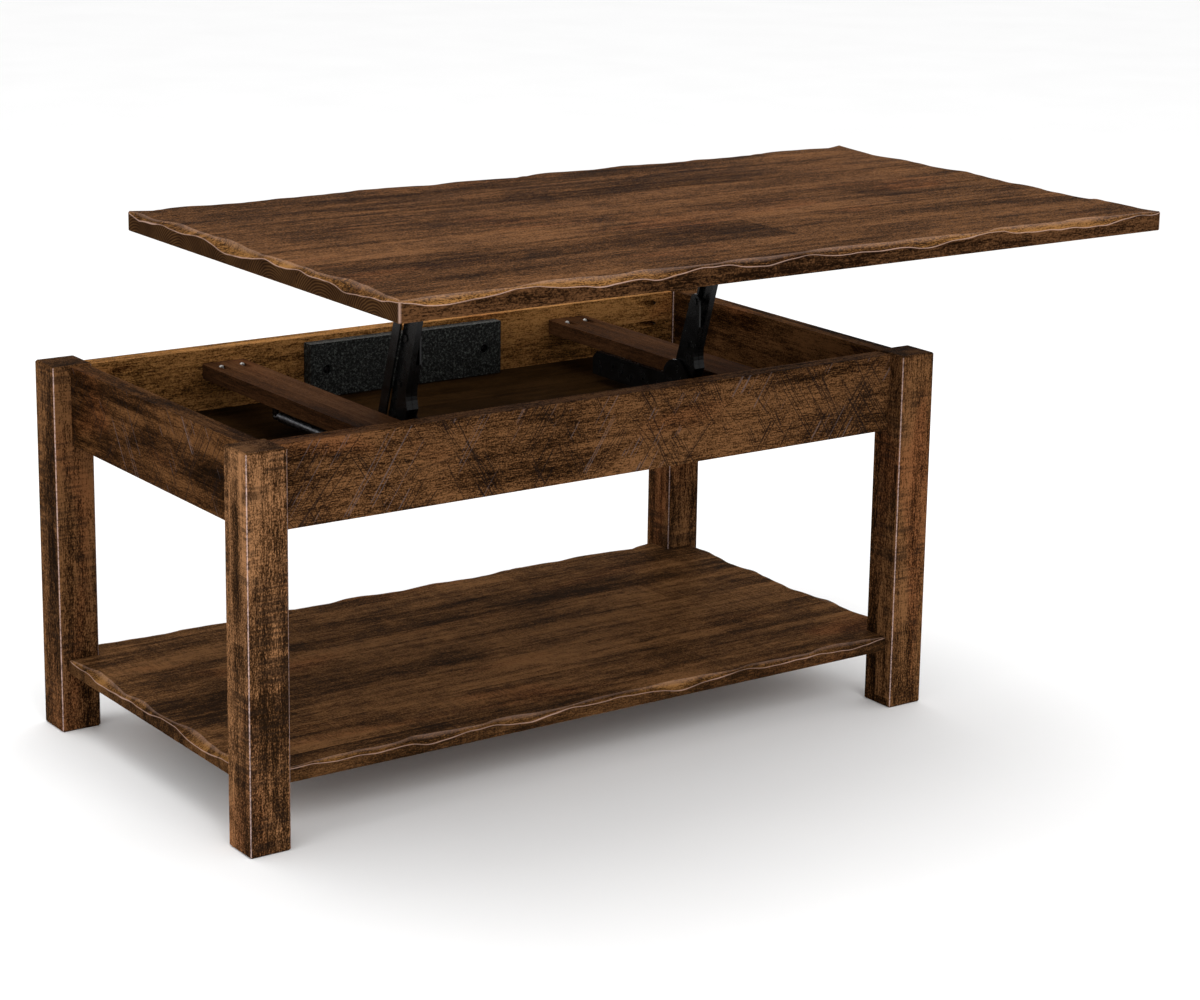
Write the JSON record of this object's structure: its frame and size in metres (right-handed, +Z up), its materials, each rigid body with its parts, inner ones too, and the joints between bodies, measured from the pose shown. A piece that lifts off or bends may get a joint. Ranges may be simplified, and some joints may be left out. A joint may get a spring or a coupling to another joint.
{
  "type": "lift top coffee table",
  "caption": "Rectangular wooden coffee table with four square legs, a low shelf and a shallow box whose live-edge top lifts up and forward on two steel linkages.",
  "frame": {"origin": "On the ground, below the middle of the table as it stands with its top raised and forward.", "axes": "+X along the table's length to the user's right, +Y away from the user to the rear of the table, +Z up."},
  "size_m": [1.068, 0.932, 0.727],
  "materials": {
    "live_edge_maple": "dark stained maple, satin",
    "stained_maple": "dark stained maple with saw marks, satin",
    "inside_maple": "stained maple, matt",
    "black_steel": "gloss black paint",
    "screw_steel": "zinc plated",
    "spring_steel": "oiled spring wire",
    "wrinkle_black": "black wrinkle paint"
  },
  "bodies": {
    "base": {"leg_front_left": "stained_maple", "leg_front_right": "stained_maple", "leg_rear_left": "stained_maple", "leg_rear_right": "stained_maple", "apron_front": "stained_maple", "apron_rear": "stained_maple", "apron_left": "stained_maple", "apron_right": "stained_maple", "box_floor": "inside_maple", "stretcher_left": "inside_maple", "stretcher_right": "inside_maple", "shelf": "live_edge_maple", "pocket_screw_front_apron_left_upper": "screw_steel", "pocket_screw_front_apron_left_lower": "screw_steel", "pocket_screw_front_apron_right_upper": "screw_steel", "pocket_screw_front_apron_right_lower": "screw_steel", "pocket_screw_rear_apron_left_upper": "screw_steel", "pocket_screw_rear_apron_left_lower": "screw_steel", "pocket_screw_rear_apron_right_upper": "screw_steel", "pocket_screw_rear_apron_right_lower": "screw_steel", "pocket_screw_left_apron_front_upper": "screw_steel", "pocket_screw_left_apron_front_lower": "screw_steel", "pocket_screw_left_apron_rear_upper": "screw_steel", "pocket_screw_left_apron_rear_lower": "screw_steel", "pocket_screw_right_apron_front_upper": "screw_steel", "pocket_screw_right_apron_front_lower": "screw_steel", "pocket_screw_right_apron_rear_upper": "screw_steel", "pocket_screw_right_apron_rear_lower": "screw_steel", "pocket_screw_left_stretcher_front_left": "screw_steel", "pocket_screw_left_stretcher_front_right": "screw_steel", "pocket_screw_left_stretcher_rear_left": "screw_steel", "pocket_screw_left_stretcher_rear_right": "screw_steel", "pocket_screw_right_stretcher_front_left": "screw_steel", "pocket_screw_right_stretcher_front_right": "screw_steel", "pocket_screw_right_stretcher_rear_left": "screw_steel", "pocket_screw_right_stretcher_rear_right": "screw_steel", "counterweight": "wrinkle_black", "counterweight_screw_left": "black_steel", "counterweight_screw_right": "black_steel", "base_bracket_left": "black_steel", "base_bracket_right": "black_steel", "lift_spring_left": "spring_steel", "lift_spring_right": "spring_steel"},
    "arms": {"main_arm_left": "black_steel", "main_arm_right": "black_steel", "arm_inner_channel_left": "black_steel", "arm_inner_channel_right": "black_steel", "lift_shaft_left": "black_steel", "lift_shaft_right": "black_steel"},
    "links": {"rear_link_left": "black_steel", "rear_link_right": "black_steel"},
    "spring_yokes": {"spring_yoke_left": "black_steel", "spring_yoke_right": "black_steel"},
    "lifting_top": {"top": "live_edge_maple", "top_bracket_left": "black_steel", "top_bracket_right": "black_steel", "top_bracket_screw_left_front": "screw_steel", "top_bracket_screw_left_rear": "screw_steel", "top_bracket_screw_right_front": "screw_steel", "top_bracket_screw_right_rear": "screw_steel"}
  },
  "joints": [
    {"name": "arm_hinge", "type": "hinge", "parent": "base", "child": "arms", "pos_m": [0, 0.067, 0.427], "axis": [-1, 0, 0], "range_deg": [0, 98.04]},
    {"name": "top_hinge", "type": "hinge", "parent": "arms", "child": "lifting_top", "pos_m": [0, -0.01225, 0.68621], "axis": [-1, 0, 0], "range_deg": [-98.04, 0]},
    {"name": "link_hinge", "type": "hinge", "parent": "base", "child": "links", "pos_m": [0, 0.088, 0.427], "axis": [-1, 0, 0], "range_deg": [0, 98.04]},
    {"name": "spring_slide", "type": "slide", "parent": "base", "child": "spring_yokes", "axis": [0, -1, 0], "range_m": [0, 0.02718], "deforming": ["lift_spring_left", "lift_spring_right"]}
  ],
  "couplings": [
    {"joint": "top_hinge", "follows": "arm_hinge", "ratio": -1},
    {"joint": "link_hinge", "follows": "arm_hinge", "ratio": 1},
    {"joint": "spring_slide", "follows": "arm_hinge", "m_per_rad": 0.015883}
  ]
}
